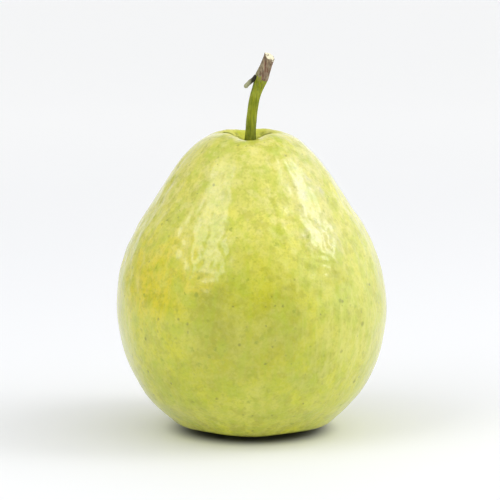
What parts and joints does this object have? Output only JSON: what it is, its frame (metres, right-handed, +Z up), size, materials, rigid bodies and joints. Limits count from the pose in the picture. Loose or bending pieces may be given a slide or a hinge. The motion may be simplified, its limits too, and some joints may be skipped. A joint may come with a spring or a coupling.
{
  "type": "guava",
  "caption": "Whole pear-shaped green guava with a short curved stalk, standing on its blossom end.",
  "frame": {"origin": "on the surface that the fruit rests on, under the middle of the fruit's width and depth", "axes": "+Z up from the blossom end to the cut end of the stalk; the stalk leans towards +X"},
  "size_m": [0.0944, 0.0944, 0.1315],
  "materials": {
    "guava_skin": "satin",
    "green_stalk": "matte",
    "dry_twig": "matte",
    "dry_calyx": "matte"
  },
  "bodies": {
    "root": {"fruit": "guava_skin", "stalk": "green_stalk", "side_stub": "dry_twig", "calyx": "dry_calyx"}
  },
  "joints": []
}
